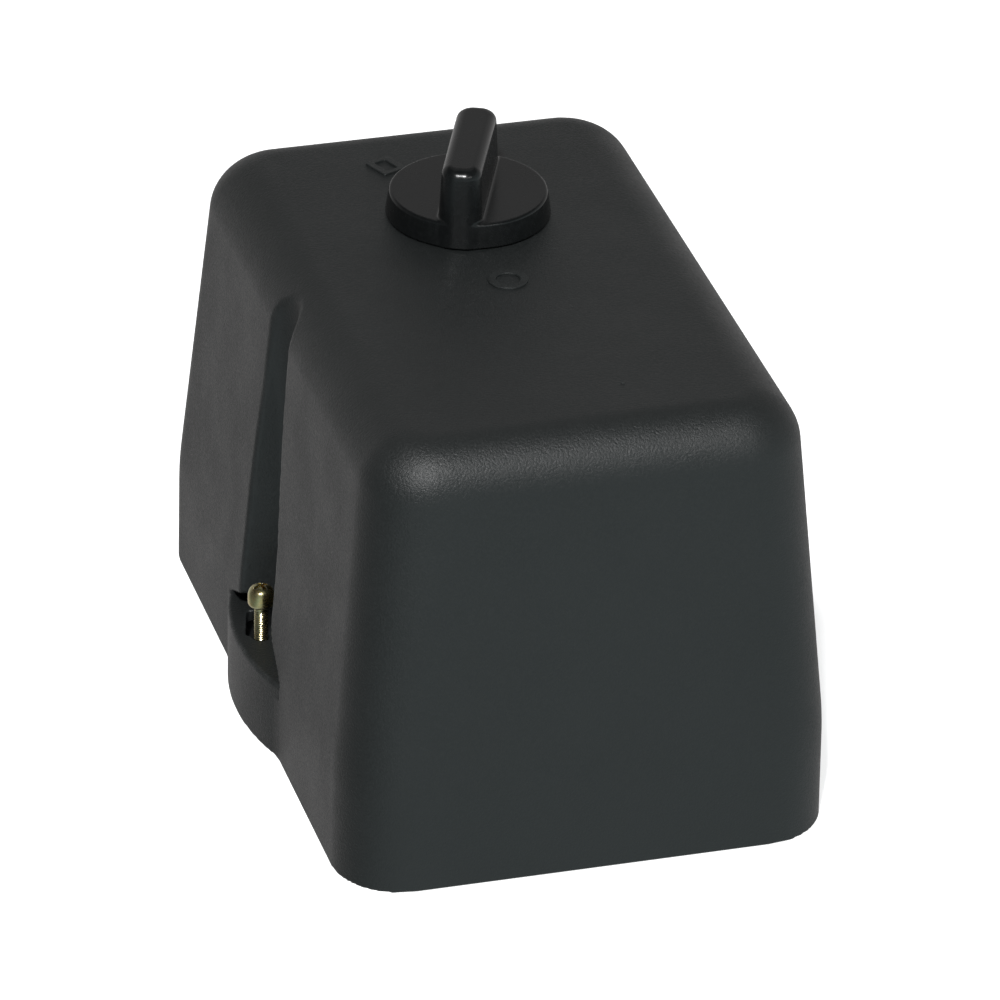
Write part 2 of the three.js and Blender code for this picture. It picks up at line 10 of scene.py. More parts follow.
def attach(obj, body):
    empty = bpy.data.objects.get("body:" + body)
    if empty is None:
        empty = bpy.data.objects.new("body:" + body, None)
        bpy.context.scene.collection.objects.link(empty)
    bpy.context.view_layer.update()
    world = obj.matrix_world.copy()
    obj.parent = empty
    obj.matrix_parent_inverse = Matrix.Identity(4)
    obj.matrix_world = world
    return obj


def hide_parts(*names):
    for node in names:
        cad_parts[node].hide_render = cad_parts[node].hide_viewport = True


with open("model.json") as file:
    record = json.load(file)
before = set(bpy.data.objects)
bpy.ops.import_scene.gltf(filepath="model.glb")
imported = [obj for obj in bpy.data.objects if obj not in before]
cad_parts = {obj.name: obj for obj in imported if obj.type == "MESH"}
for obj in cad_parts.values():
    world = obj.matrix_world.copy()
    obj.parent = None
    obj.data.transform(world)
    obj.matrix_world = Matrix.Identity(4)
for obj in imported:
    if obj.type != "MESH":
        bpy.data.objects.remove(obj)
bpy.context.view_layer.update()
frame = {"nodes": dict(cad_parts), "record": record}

NODES = frame["nodes"]
MM = 0.001

# ------------------------------------------------------------------ dimensions (mm), as in the CAD
HOOD_A, HOOD_B, HOOD_H = 52.0, 78.55, 97.65
BAND_H, BAND_IN = 23.6, 0.13
TOP_A, TOP_B = 45.28, 73.26
PLAN_R, TOP_R, WALL = 14.4, 10.7, 2.8
MID_Y, LOBE_R, LOBE_CX, LOBE_H, LOBE_WALL = 0.3, 60.0, 4.36, 17.3, 1.9
CH_X, CH_WALL, CH_SLOPE = 42.1, 2.2, 0.3
SCREW_X, SCREW_Y, SCREW_HEAD_Z = 50.3, 0.5, 24.6
KX, KY, BAR = 0.9, 27.3, math.radians(-22.5)
KNOB_R, KNOB_DISC, KNOB_H, KNOB_GAP = 17.4, 5.4, 17.4, 0.3


# ------------------------------------------------------------------ distance-field helpers
def smax(a, b, k):
    h = np.maximum(k - np.abs(a - b), 0.0)
    return np.maximum(a, b) + h * h / (4 * k)


def smin(a, b, k):
    h = np.maximum(k - np.abs(a - b), 0.0)
    return np.minimum(a, b) - h * h / (4 * k)


def rmax(a, b, r):
    """Intersection with a circular edge of radius r."""
    return np.minimum(-r, np.maximum(a, b)) + np.hypot(np.maximum(a + r, 0), np.maximum(b + r, 0))


def rmin(a, b, r):
    """Union with a circular hollow of radius r."""
    return -rmax(-a, -b, r)


def rect2(x, y, a, b, r):
    qx, qy = np.abs(x) - (a - r), np.abs(y) - (b - r)
    return np.hypot(np.maximum(qx, 0), np.maximum(qy, 0)) + np.minimum(np.maximum(qx, qy), 0) - r


def poly2(px, py, pts):
    """Signed distance to a closed polygon, below zero inside."""
    pts = np.asarray(pts, float)
    d = np.full(px.shape, 1e9)
    inside = np.zeros(px.shape, bool)
    n = len(pts)
    for i in range(n):
        ax, ay = pts[i]
        bx, by = pts[(i + 1) % n]
        ex, ey = bx - ax, by - ay
        wx, wy = px - ax, py - ay
        t = np.clip((wx * ex + wy * ey) / (ex * ex + ey * ey), 0, 1)
        d = np.minimum(d, (wx - ex * t) ** 2 + (wy - ey * t) ** 2)
        hit = ((ay > py) != (by > py)) & (px < ex * (py - ay) / ((by - ay) if by != ay else 1e-9) + ax)
        inside ^= hit
    d = np.sqrt(d)
    return np.where(inside, -d, d)


def spaced(*runs):
    """Grid lines: (start, end, step) runs joined end to end."""
    out = [np.array([runs[0][0]], float)]
    for a, b, h in runs:
        n = max(1, int(round((b - a) / h)))
        out.append(np.linspace(a, b, n + 1)[1:])
    return np.concatenate(out)


def net(fn, xs, ys, zs, steps=4):
    """Surface of fn = 0 on a rectilinear grid (surface nets), each vertex then moved onto the exact surface."""
    nx, ny, nz = len(xs), len(ys), len(zs)
    F = np.empty((nx, ny, nz), np.float32)
    for i0 in range(0, nx, 24):
        X, Y, Z = np.meshgrid(xs[i0:i0 + 24], ys, zs, indexing="ij")
        F[i0:i0 + 24] = fn(X, Y, Z)
    S = F < 0
    cnt = np.zeros((nx - 1, ny - 1, nz - 1), np.uint8)
    for i in (0, 1):
        for j in (0, 1):
            for k in (0, 1):
                cnt += S[i:nx - 1 + i, j:ny - 1 + j, k:nz - 1 + k]
    act = (cnt > 0) & (cnt < 8)
    ids = np.full(act.shape, -1, np.int64)
    ci, cj, ck = np.nonzero(act)
    ids[ci, cj, ck] = np.arange(len(ci))
    acc = np.zeros((len(ci), 3))
    num = np.zeros(len(ci))
    corner = [(i, j, k) for i in (0, 1) for j in (0, 1) for k in (0, 1)]
    for a in corner:
        for b in corner:
            if a < b and sum(abs(p - q) for p, q in zip(a, b)) == 1:
                fa = F[ci + a[0], cj + a[1], ck + a[2]].astype(float)
                fb = F[ci + b[0], cj + b[1], ck + b[2]].astype(float)
                cross = (fa < 0) != (fb < 0)
                t = np.where(cross, fa / np.where(cross, fa - fb, 1), 0)
                pa = np.stack([xs[ci + a[0]], ys[cj + a[1]], zs[ck + a[2]]], 1)
                pb = np.stack([xs[ci + b[0]], ys[cj + b[1]], zs[ck + b[2]]], 1)
                p = pa + (pb - pa) * t[:, None]
                acc += np.where(cross[:, None], p, 0)
                num += cross
    P = acc / num[:, None]
    lo = np.stack([xs[ci], ys[cj], zs[ck]], 1)
    hi = np.stack([xs[ci + 1], ys[cj + 1], zs[ck + 1]], 1)
    P = project(fn, P, steps, lo - 0.15 * (hi - lo), hi + 0.15 * (hi - lo))
    quads = []
    for ax in range(3):
        sh = [nx, ny, nz]
        sl0 = [slice(1, s - 1) for s in sh]
        sl1 = [slice(1, s - 1) for s in sh]
        sl0[ax] = slice(0, sh[ax] - 1)
        sl1[ax] = slice(1, sh[ax])
        A, B = S[tuple(sl0)], S[tuple(sl1)]
        e = np.argwhere(A != B)
        first = A[tuple(e.T)]
        off = np.array([1, 1, 1]); off[ax] = 0
        e = e + off
        u, v = (ax + 1) % 3, (ax + 2) % 3
        du = np.zeros(3, int); du[u] = 1
        dv = np.zeros(3, int); dv[v] = 1
        c = [ids[tuple(q.T)] for q in (e - du - dv, e - dv, e, e - du)]
        q = np.stack(c, 1)
        q[~first] = q[~first][:, ::-1]
        quads.append(q)
    return P, np.concatenate(quads)


def grad(fn, P, e=0.02):
    out = np.empty_like(P)
    for a in range(3):
        d = np.zeros(3); d[a] = e
        out[:, a] = (fn(*(P + d).T) - fn(*(P - d).T)) / (2 * e)
    return out


def project(fn, P, steps, lo=None, hi=None):
    for _ in range(steps):
        f = fn(*P.T)
        g = grad(fn, P)
        P = P - g * (f / np.maximum((g * g).sum(1), 0.2))[:, None]
        if lo is not None:
            P = np.clip(P, lo, hi)
    return P


def field_piece(name, fn, xs, ys, zs, body, mats, wear_e=0.5, floor_z=None, replaces=(), smooth=True):
    P, Q = net(fn, xs, ys, zs)
    N = grad(fn, P)
    N /= np.maximum(np.linalg.norm(N, axis=1), 1e-9)[:, None]
    lap = -6.0 * fn(*P.T)
    for a in range(3):
        d = np.zeros(3); d[a] = wear_e
        lap += fn(*(P + d).T) + fn(*(P - d).T)
    lap /= wear_e ** 2
    me = bpy.data.meshes.new(name)
    me.from_pydata((P * MM).tolist(), [], Q.tolist())
    me.update()
    bad = me.validate(verbose=False)
    at = me.attributes.new("wear", "FLOAT", "POINT")
    at.data.foreach_set("value", np.clip(lap, -3, 3).astype(np.float32))
    me.polygons.foreach_set("use_smooth", np.ones(len(me.polygons), bool))
    if smooth and not bad:
        me.normals_split_custom_set_from_vertices(N.tolist())
    ob = bpy.data.objects.new(name, me)
    bpy.context.scene.collection.objects.link(ob)
    for m in mats:
        me.materials.append(m)
    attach(ob, body)
    if replaces:
        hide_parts(*replaces)
    return ob


# ------------------------------------------------------------------ material helpers
def node(nt, kind, x=0, y=0, **vals):
    n = nt.nodes.new(kind)
    n.location = (x, y)
    for k, v in vals.items():
        if hasattr(n, k) and not k.startswith("in_"):
            setattr(n, k, v)
    return n


def new_mat(name):
    m = bpy.data.materials.new(name)
    m.use_nodes = True
    nt = m.node_tree
    b = nt.nodes["Principled BSDF"]
    return m, nt, b


def setv(n, **vals):
    for k, v in vals.items():
        n.inputs[k.replace("_", " ")].default_value = v


def tex_noise(nt, coord, scale, detail=3.0, rough=0.55, dist=0.0, dims="3D"):
    t = nt.nodes.new("ShaderNodeTexNoise")
    t.noise_dimensions = dims
    t.inputs["Scale"].default_value = scale
    t.inputs["Detail"].default_value = detail
    t.inputs["Roughness"].default_value = rough
    t.inputs["Distortion"].default_value = dist
    nt.links.new(coord, t.inputs["Vector"])
    return t.outputs["Fac"]


def ramp(nt, fac, lo, hi, a=0.0, b=1.0):
    r = nt.nodes.new("ShaderNodeMapRange")
    r.inputs["From Min"].default_value = lo
    r.inputs["From Max"].default_value = hi
    r.inputs["To Min"].default_value = a
    r.inputs["To Max"].default_value = b
    r.clamp = True
    nt.links.new(fac, r.inputs["Value"])
    return r.outputs["Result"]


def mix_col(nt, fac, a, b):
    m = nt.nodes.new("ShaderNodeMix")
    m.data_type = "RGBA"
    m.clamp_factor = True
    for sock, v in ((m.inputs[0], fac), (m.inputs[6], a), (m.inputs[7], b)):
        if isinstance(v, bpy.types.NodeSocket):
            nt.links.new(v, sock)
        elif isinstance(v, (int, float)):
            sock.default_value = v
        else:
            sock.default_value = (*v, 1)
    return m.outputs[2]


def math_n(nt, op, a, b=0.0, clamp=False):
    m = nt.nodes.new("ShaderNodeMath")
    m.operation = op
    m.use_clamp = clamp
    for i, v in enumerate((a, b)):
        if isinstance(v, bpy.types.NodeSocket):
            nt.links.new(v, m.inputs[i])
        else:
            m.inputs[i].default_value = v
    return m.outputs[0]


def bump(nt, height, strength, dist_m, normal=None):
    b = nt.nodes.new("ShaderNodeBump")
    b.inputs["Strength"].default_value = strength
    b.inputs["Distance"].default_value = dist_m
    nt.links.new(height, b.inputs["Height"])
    if normal is not None:
        nt.links.new(normal, b.inputs["Normal"])
    return b.outputs["Normal"]


def coords(nt):
    return nt.nodes.new("ShaderNodeTexCoord").outputs["Object"]


def curvature_of(nt):
    a = nt.nodes.new("ShaderNodeAttribute")
    a.attribute_type = "GEOMETRY"
    a.attribute_name = "wear"
    return a.outputs["Fac"]


def plastic(name, base, light, rough, grain=9000.0, grain_h=0.00003, grain_s=0.5, spec=0.5, wear=None,
            rough_var=0.07, mottle=(0.35, 0.65), coat=0.0, coat_rough=0.2, scratch=0.0):
    """Moulded plastic: spark-eroded grain in bump and roughness, slow colour drift, polished or worn edges, painted
    shade in hollows.
    """
    m, nt, b = new_mat(name)
    c = coords(nt)
    slow = tex_noise(nt, c, 28.0, 4.0, 0.6)
    fine = tex_noise(nt, c, grain * 0.35, 2.0, 0.5)
    tiny = tex_noise(nt, c, grain, 2.0, 0.6)
    col = mix_col(nt, ramp(nt, slow, *mottle), base, light)
    speck = ramp(nt, fine, 0.42, 0.66)
    col = mix_col(nt, math_n(nt, "MULTIPLY", speck, 0.30), col, tuple(min(1, v * 1.45) for v in light))
    r = ramp(nt, fine, 0.3, 0.7, rough - rough_var, rough + rough_var)
    drift = ramp(nt, tex_noise(nt, c, 60.0, 3.0, 0.6), 0.35, 0.65, -0.03, 0.03)
    r = math_n(nt, "ADD", r, drift)
    if wear is not None:
        w = curvature_of(nt)
        edge = ramp(nt, w, 0.35, 1.9)
        broken = ramp(nt, tex_noise(nt, c, 420.0, 4.0, 0.65), 0.40, 0.62)
        edge = math_n(nt, "MULTIPLY", edge, broken)
        col = mix_col(nt, math_n(nt, "MULTIPLY", edge, wear), col, tuple(min(1, v * 2.6 + 0.004) for v in light))
        r = math_n(nt, "SUBTRACT", r, math_n(nt, "MULTIPLY", edge, 0.16))
        # painted shade: the base colour is darkened in concave hollows and creases, where shade falls
        hollow_shade = ramp(nt, w, -2.2, -0.3, 1.0, 0.0)
        col = mix_col(nt, math_n(nt, "MULTIPLY", hollow_shade, 0.35), col, tuple(v * 0.55 for v in base))
    h = math_n(nt, "ADD", tiny, math_n(nt, "MULTIPLY", fine, 1.6))
    if scratch:
        st = nt.nodes.new("ShaderNodeMapping")
        st.inputs["Scale"].default_value = (1.0, 14.0, 1.0)
        st.inputs["Rotation"].default_value = (0.0, 0.0, 0.7)
        nt.links.new(c, st.inputs["Vector"])
        sc = ramp(nt, tex_noise(nt, st.outputs["Vector"], 260.0, 5.0, 0.7), 0.60, 0.72)
        r = math_n(nt, "ADD", r, math_n(nt, "MULTIPLY", sc, scratch))
        h = math_n(nt, "SUBTRACT", h, math_n(nt, "MULTIPLY", sc, 0.6))
    nt.links.new(col, b.inputs["Base Color"])
    nt.links.new(r, b.inputs["Roughness"])
    nt.links.new(bump(nt, h, grain_s, grain_h), b.inputs["Normal"])
    b.inputs["Specular IOR Level"].default_value = spec
    b.inputs["IOR"].default_value = 1.5
    if coat:
        b.inputs["Coat Weight"].default_value = coat
        b.inputs["Coat Roughness"].default_value = coat_rough
    return m


def metal(name, base, light, rough, brush=None, spots=0.25, bump_h=0.00002, tint=None, wear=None):
    """Plated or rolled metal: drawn or rolled lines, tarnish spots, roughness that follows both."""
    m, nt, b = new_mat(name)
    c = coords(nt)
    if brush is not None:
        mp = nt.nodes.new("ShaderNodeMapping")
        mp.inputs["Scale"].default_value = brush
        nt.links.new(c, mp.inputs["Vector"])
        line = tex_noise(nt, mp.outputs["Vector"], 900.0, 3.0, 0.6)
    else:
        line = tex_noise(nt, c, 2600.0, 3.0, 0.6)
    slow = tex_noise(nt, c, 220.0, 4.0, 0.6)
    col = mix_col(nt, ramp(nt, slow, 0.35, 0.65), base, light)
    if tint is not None:
        iri = ramp(nt, tex_noise(nt, c, 420.0, 2.0, 0.5, 0.6), 0.42, 0.62)
        col = mix_col(nt, math_n(nt, "MULTIPLY", iri, 0.55), col, tint)
    dirt = ramp(nt, tex_noise(nt, c, 900.0, 5.0, 0.7), 0.56, 0.74)
    col = mix_col(nt, math_n(nt, "MULTIPLY", dirt, spots), col, tuple(v * 0.35 for v in base))
    r = ramp(nt, line, 0.3, 0.7, rough - 0.07, rough + 0.09)
    r = math_n(nt, "ADD", r, math_n(nt, "MULTIPLY", dirt, 0.22))
    if wear is not None:
        w = ramp(nt, curvature_of(nt), 0.5, 2.6)
        col = mix_col(nt, math_n(nt, "MULTIPLY", w, 0.6), col, wear)
        r = math_n(nt, "SUBTRACT", r, math_n(nt, "MULTIPLY", w, 0.08))
    nt.links.new(col, b.inputs["Base Color"])
    nt.links.new(r, b.inputs["Roughness"])
    nt.links.new(bump(nt, line, 0.35, bump_h), b.inputs["Normal"])
    b.inputs["Metallic"].default_value = 1.0
    return m


M = {}
M["hood_plastic"] = plastic("hood_plastic", (0.0130, 0.0148, 0.0148), (0.0165, 0.0186, 0.0186), 0.45, grain=5600.0,
                            grain_h=0.00010, grain_s=0.7, spec=0.5, wear=0.45, mottle=(0.2, 0.8))
M["knob_plastic"] = plastic("knob_plastic", (0.0042, 0.0048, 0.0050), (0.0062, 0.0068, 0.0070), 0.24, grain=2600.0,
                            grain_h=0.00001, grain_s=0.25, spec=0.5, wear=0.08, rough_var=0.035, scratch=0.10)
M["tray_plastic"] = plastic("tray_plastic", (0.034, 0.037, 0.038), (0.046, 0.049, 0.050), 0.58, grain=4200.0,
                            grain_h=0.00005, spec=0.45)
M["block_plastic"] = plastic("block_plastic", (0.082, 0.034, 0.019), (0.125, 0.057, 0.034), 0.50, grain=2600.0,
                             grain_h=0.00004, mottle=(0.30, 0.70), spec=0.5)
M["case_plastic"] = plastic("case_plastic", (0.022, 0.025, 0.027), (0.033, 0.036, 0.038), 0.47, grain=3000.0,
                            grain_h=0.00004, spec=0.5)
M["natural_plastic"] = plastic("natural_plastic", (0.54, 0.49, 0.38), (0.64, 0.59, 0.49), 0.45, grain=2200.0,
                               grain_h=0.00003, spec=0.5)
M["dial_plastic"] = plastic("dial_plastic", (0.72, 0.70, 0.62), (0.80, 0.78, 0.71), 0.34, grain=2600.0,
                            grain_h=0.00002, spec=0.5)
M["red_plastic"] = plastic("red_plastic", (0.24, 0.011, 0.010), (0.31, 0.018, 0.015), 0.30, grain=2600.0,
                           grain_h=0.00002, spec=0.5)
M["rubber_black"] = plastic("rubber_black", (0.0075, 0.0075, 0.0075), (0.0115, 0.0112, 0.0108), 0.78, grain=3600.0,
                            grain_h=0.00006, grain_s=0.6, spec=0.3)
M["zinc_yellow"] = metal("zinc_yellow", (0.56, 0.42, 0.16), (0.72, 0.62, 0.36), 0.25, tint=(0.46, 0.52, 0.28),
                         wear=(0.80, 0.77, 0.64), spots=0.30)
M["zinc_clear"] = metal("zinc_clear", (0.40, 0.41, 0.42), (0.56, 0.57, 0.58), 0.30, tint=(0.46, 0.50, 0.56))
M["plate_steel"] = metal("plate_steel", (0.34, 0.35, 0.35), (0.47, 0.48, 0.48), 0.36, brush=(1.0, 0.06, 1.0))
M["spring_steel"] = metal("spring_steel", (0.36, 0.37, 0.38), (0.52, 0.53, 0.54), 0.28)
M["brass_bar"] = metal("brass_bar", (0.48, 0.27, 0.075), (0.62, 0.38, 0.13), 0.30, brush=(1.0, 0.08, 1.0))
M["copper_bar"] = metal("copper_bar", (0.50, 0.22, 0.085), (0.64, 0.33, 0.15), 0.30, brush=(1.0, 0.08, 1.0))
M["bimetal_strip"] = metal("bimetal_strip", (0.40, 0.34, 0.22), (0.52, 0.46, 0.32), 0.32, brush=(1.0, 1.0, 0.06))
M["earth_green"] = metal("earth_green", (0.06, 0.24, 0.07), (0.13, 0.36, 0.12), 0.34, spots=0.35)


# ------------------------------------------------------------------ hood
SA = (TOP_A - HOOD_A + BAND_IN) / (HOOD_H - BAND_H)
SB = (TOP_B - HOOD_B + BAND_IN) / (HOOD_H - BAND_H)


def half_sizes(z):
    zc = np.clip(z, -5, 120)
    band_a = HOOD_A - BAND_IN * zc / BAND_H
    band_b = HOOD_B - BAND_IN * zc / BAND_H
    up_a = HOOD_A - BAND_IN + SA * (zc - BAND_H)
    up_b = HOOD_B - BAND_IN + SB * (zc - BAND_H)
    return smin(band_a, up_a, 0.35), smin(band_b, up_b, 0.35)


def body_f(x, y, z, off=0.0, k=0.0):
    a, b = half_sizes(z)
    d2 = rect2(x, y, a - off, b - off, PLAN_R - off)
    return rmax(d2, z - (HOOD_H - off), TOP_R - off), d2


def catmull(pts, per=6):
    pts = np.asarray(pts, float)
    out = []
    n = len(pts)
    for i in range(n - 1):
        p0, p1, p2, p3 = pts[max(i - 1, 0)], pts[i], pts[i + 1], pts[min(i + 2, n - 1)]
        for t in np.linspace(0, 1, per, endpoint=False):
            out.append(0.5 * (2 * p1 + (p2 - p0) * t + (2 * p0 - 5 * p1 + 4 * p2 - p3) * t * t + (3 * p1 - p0 - 3 * p2 + p3) * t ** 3))
    out.append(pts[-1])
    return np.array(out)


# mouth of the screw pocket in (y, z): near flank, then the far ear
NEAR_FLANK = catmull([(-21.3, LOBE_H), (-18.8, 20.2), (-16.2, 22.2), (-13.9, 24.2), (-12.2, 28.0), (-11.3, 34.0)], 5)
MOUTH = np.vstack([[(20.9, LOBE_H - 3.0), (-21.3, LOBE_H - 3.0)], NEAR_FLANK, [(0.0, 30.0), (11.2, 21.6), (20.9, LOBE_H)]])

# driver channel from foot to head: height, half width of the floor, centre along Y, corner radius
CHANNEL = catmull([(0.0, 9.1, 0.2, 1.5), (17.3, 9.1, 0.2, 1.5), (40, 9.1, 0.4, 2.0), (50, 8.5, 1.2, 2.2), (60, 7.4, 1.8, 2.5),
                   (70, 6.2, 2.0, 3.3), (80, 5.6, 2.3, 4.6), (88, 5.6, 2.5, 5.4), (100, 5.6, 2.6, 5.4)], 8)


def hood_f(x, y, z):
    ax = np.abs(x)
    lx = -x
    yy = y - MID_Y
    body, d2 = body_f(x, y, z)
    # driver channel and pocket mouth, on the left side only
    half, cy, cr = (np.interp(z, CHANNEL[:, 0], CHANNEL[:, i]) for i in (1, 2, 3))
    chan = rmax((np.abs(y - cy) - half - CH_SLOPE * (lx - CH_X)) / math.hypot(1, CH_SLOPE), CH_X - lx, cr)
    upper = rmax(body, -chan, 1.0)
    near = (lx > 40) & (z < 40) & (z > 10) & (np.abs(y) < 28)
    if np.any(near):
        pock = np.maximum(poly2(y[near], z[near], MOUTH), 47.4 - lx[near])
        upper[near] = rmax(upper[near], -pock, 0.45)
    # round lobes at the foot of both long sides; their tops are the seats
    lobe = rmax(np.hypot(ax + LOBE_CX, yy) - LOBE_R, z - LOBE_H, 0.8)
    outer = rmin(upper, lobe, 0.7)
    outer = rmax(outer, -z, 0.35)
    # inside of the shell
    cav, _ = body_f(x, y, z, WALL)
    lc = np.maximum(np.maximum(np.hypot(ax + LOBE_CX, yy) - (LOBE_R - LOBE_WALL), np.abs(yy) - 18.6), z - (LOBE_H - 2.6))
    lc = np.maximum(lc, 40 - ax)
    cav = smin(cav, lc, 0.6)
    keep = np.maximum(np.maximum(CH_X - CH_WALL - lx, np.abs(y - cy) - (half + CH_WALL + 2.4)), (LOBE_H - 2.6) - z)
    keep2 = np.maximum(np.maximum(45.6 - lx, np.abs(yy) - 23.5), np.maximum((LOBE_H - 2.6) - z, z - 29.0))
    cav = smax(cav, -np.minimum(keep, keep2), 0.8)
    collar = np.maximum(np.hypot(x - KX, y - KY) - 9.6, (HOOD_H - 8.2) - z)
    cav = smax(cav, -collar, 0.8)
    shell = smax(outer, -cav, 0.5)
    # clearance hole of the screw and the slot through the seat beside it
    hole = np.maximum(np.hypot(lx - SCREW_X, y - SCREW_Y) - 1.8, np.maximum(LOBE_H - 4 - z, z - LOBE_H - 2))
    shell = smax(shell, -hole, 0.2)
    gc, gs = math.cos(math.radians(15.5)), math.sin(math.radians(15.5))
    gu, gv = gc * (x + 51.0) - gs * (y - 6.3), gs * (x + 51.0) + gc * (y - 6.3)
    gap = np.maximum(rect2(gu, gv, 0.95, 5.3, 0.9), np.abs(z - LOBE_H + 0.5) - 4)
    shell = smax(shell, -gap, 0.3)
    rk = np.hypot(x - KX, y - KY)
    shell = smax(shell, -np.maximum(rk - 5.8, (HOOD_H - 12) - z), 0.3)
    shell = smax(shell, -np.maximum(rk - 8.0, (HOOD_H - 2.1) - z), 0.3)
    return shell


left_x = spaced((0.0, 34.0, 3.0), (34.0, 40.0, 1.3), (40.0, 56.6, 0.66))
right_x = spaced((0.0, 34.0, 3.0), (34.0, 42.0, 1.5), (42.0, 56.6, 0.9))
hx = np.concatenate([-left_x[::-1], right_x[1:]])
hx = np.unique(np.concatenate([hx, np.arange(KX - 10.2, KX + 10.3, 0.85)]))
hx = hx[np.concatenate([[True], np.diff(hx) > 0.12])]
hy = spaced((-79.7, -60.0, 1.15), (-60.0, -25.0, 2.4), (-25.0, 25.0, 0.80), (25.0, 38.0, 1.0), (38.0, 60.0, 2.4), (60.0, 79.7, 1.15))
hz = spaced((-0.9, 0.9, 0.3), (0.9, 12.0, 1.6), (12.0, 36.0, 0.65), (36.0, 66.0, 2.4), (66.0, 84.0, 1.5), (84.0, 98.6, 0.63))
hood = field_piece("hood_shell_moulding", hood_f, hx, hy, hz, "hood_shell", [M["hood_plastic"]],
                   wear_e=0.6, replaces=("hood",))


# ------------------------------------------------------------------ raised position marks on the hood
def outline_piece(name, rings, z0, z1, bevel, body, mat):
    """A flat raised outline between an outer and an inner ring of points, with rounded edges."""
    bm = bmesh.new()
    outer, inner = rings
    n = len(outer)
    lv = []
    for z in (z0, z1):
        lv.append([[bm.verts.new((x * MM, y * MM, z * MM)) for x, y in ring] for ring in (outer, inner)])
    for i in range(n):
        j = (i + 1) % n
        (bo, bi), (to, ti) = lv
        bm.faces.new((bo[i], bo[j], to[j], to[i]))
        bm.faces.new((bi[j], bi[i], ti[i], ti[j]))
        bm.faces.new((to[i], to[j], ti[j], ti[i]))
        bm.faces.new((bo[j], bo[i], bi[i], bi[j]))
    bmesh.ops.recalc_face_normals(bm, faces=bm.faces)
    me = bpy.data.meshes.new(name)
    bm.to_mesh(me)
    bm.free()
    at = me.attributes.new("wear", "FLOAT", "POINT")
    at.data.foreach_set("value", np.full(len(me.vertices), 0.8, np.float32))
    ob = bpy.data.objects.new(name, me)
    bpy.context.scene.collection.objects.link(ob)
    bv = ob.modifiers.new("edge", "BEVEL")
    bv.width = bevel * MM
    bv.segments = 2
    bv.limit_method = "ANGLE"
    bv.angle_limit = math.radians(40)
    me.materials.append(mat)
    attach(ob, body)
    return ob


def rring(cx, cy, hx_, hy_, r, ang, n=5):
    out = []
    for sx, sy, t0 in ((1, 1, 0), (-1, 1, 90), (-1, -1, 180), (1, -1, 270)):
        for k in range(n + 1):
            t = math.radians(t0 + 90 * k / n)
            out.append((sx * (hx_ - r) + r * math.cos(t), sy * (hy_ - r) + r * math.sin(t)))
    c, s = math.cos(ang), math.sin(ang)
    return [(cx + c * x - s * y, cy + s * x + c * y) for x, y in out]


def circ(cx, cy, r, n=40):
    return [(cx + r * math.cos(2 * math.pi * k / n), cy + r * math.sin(2 * math.pi * k / n)) for k in range(n)]


outline_piece("mark_closed", (rring(-10.4, 51.5, 2.9, 3.4, 0.4, math.radians(23)), rring(-10.4, 51.5, 1.4, 2.2, 0.3, math.radians(23))),
              HOOD_H - 0.15, HOOD_H + 0.48, 0.18, "hood_shell", M["hood_plastic"])
outline_piece("mark_open", (circ(0.8, -3.9, 4.2), circ(0.8, -3.9, 2.5)),
              HOOD_H - 0.15, HOOD_H + 0.48, 0.18, "hood_shell", M["hood_plastic"])


def gate_pip(name, cx, cy, body, mat):
    """Small round witness of the moulding gate."""
    bm = bmesh.new()
    n = 28
    rings = [[bm.verts.new(((cx + r * math.cos(2 * math.pi * k / n)) * MM, (cy + r * math.sin(2 * math.pi * k / n)) * MM, z * MM))
              for k in range(n)] for r, z in ((0.50, HOOD_H - 0.12), (0.48, HOOD_H + 0.10), (0.40, HOOD_H + 0.17), (0.20, HOOD_H + 0.14))]
    for lo, hi in zip(rings, rings[1:]):
        for i in range(n):
            bm.faces.new((lo[i], lo[(i + 1) % n], hi[(i + 1) % n], hi[i]))
    bm.faces.new(rings[-1])
    bm.faces.new(rings[0][::-1])
    me = bpy.data.meshes.new(name)
    bm.to_mesh(me)
    bm.free()
    me.attributes.new("wear", "FLOAT", "POINT").data.foreach_set("value", np.full(len(me.vertices), 1.4, np.float32))
    ob = bpy.data.objects.new(name, me)
    bpy.context.scene.collection.objects.link(ob)
    me.materials.append(mat)
    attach(ob, body)


gate_pip("gate_pip", 11.3, -52.0, "hood_shell", M["hood_plastic"])


# ------------------------------------------------------------------ knob
def knob_f(x, y, z):
    dx, dy = x - KX, y - KY
    c, s = math.cos(-BAR), math.sin(-BAR)
    u, v = c * dx - s * dy, s * dx + c * dy
    z0, zt, ztop = HOOD_H + KNOB_GAP, HOOD_H + KNOB_GAP + KNOB_DISC, HOOD_H + KNOB_H
    r = np.hypot(dx, dy)
    disc = rmax(r - (KNOB_R - 0.14 * (z - z0)), z - zt, 0.55)
    disc = rmax(disc, z0 - z, 0.4)
    t = np.clip((z - z0) / (ztop - 1.1 - z0), 0, 1.1)
    bar2 = rect2(u, v, 4.8 - 0.6 * t, 17.9 - 1.9 * t, 4.0 - 0.5 * t)
    bar = rmax(bar2, z - ztop, 2.0)
    bar = np.maximum(bar, z0 + 0.2 - z)
    f = rmin(disc, bar, 0.6)
    stem = rmax(r - 5.5, 80.0 - z, 0.5)
    stem = np.maximum(stem, z - (z0 + 2))
    f = np.minimum(f, stem)
    slot_ = np.maximum(np.maximum(np.abs(u) - 2.3, np.abs(v) - 4.3), np.maximum(z - 92.0, 70 - z))
    return smax(f, -slot_, 0.3)


kx = np.arange(KX - 18.2, KX + 18.3, 0.42)
ky = np.arange(KY - 18.2, KY + 18.3, 0.42)
kz = spaced((79.2, 97.0, 0.9), (97.0, 116.0, 0.40))
knob = field_piece("knob_moulding", knob_f, kx, ky, kz, "knob_turner", [M["knob_plastic"]],
                   wear_e=0.35, replaces=("knob",))


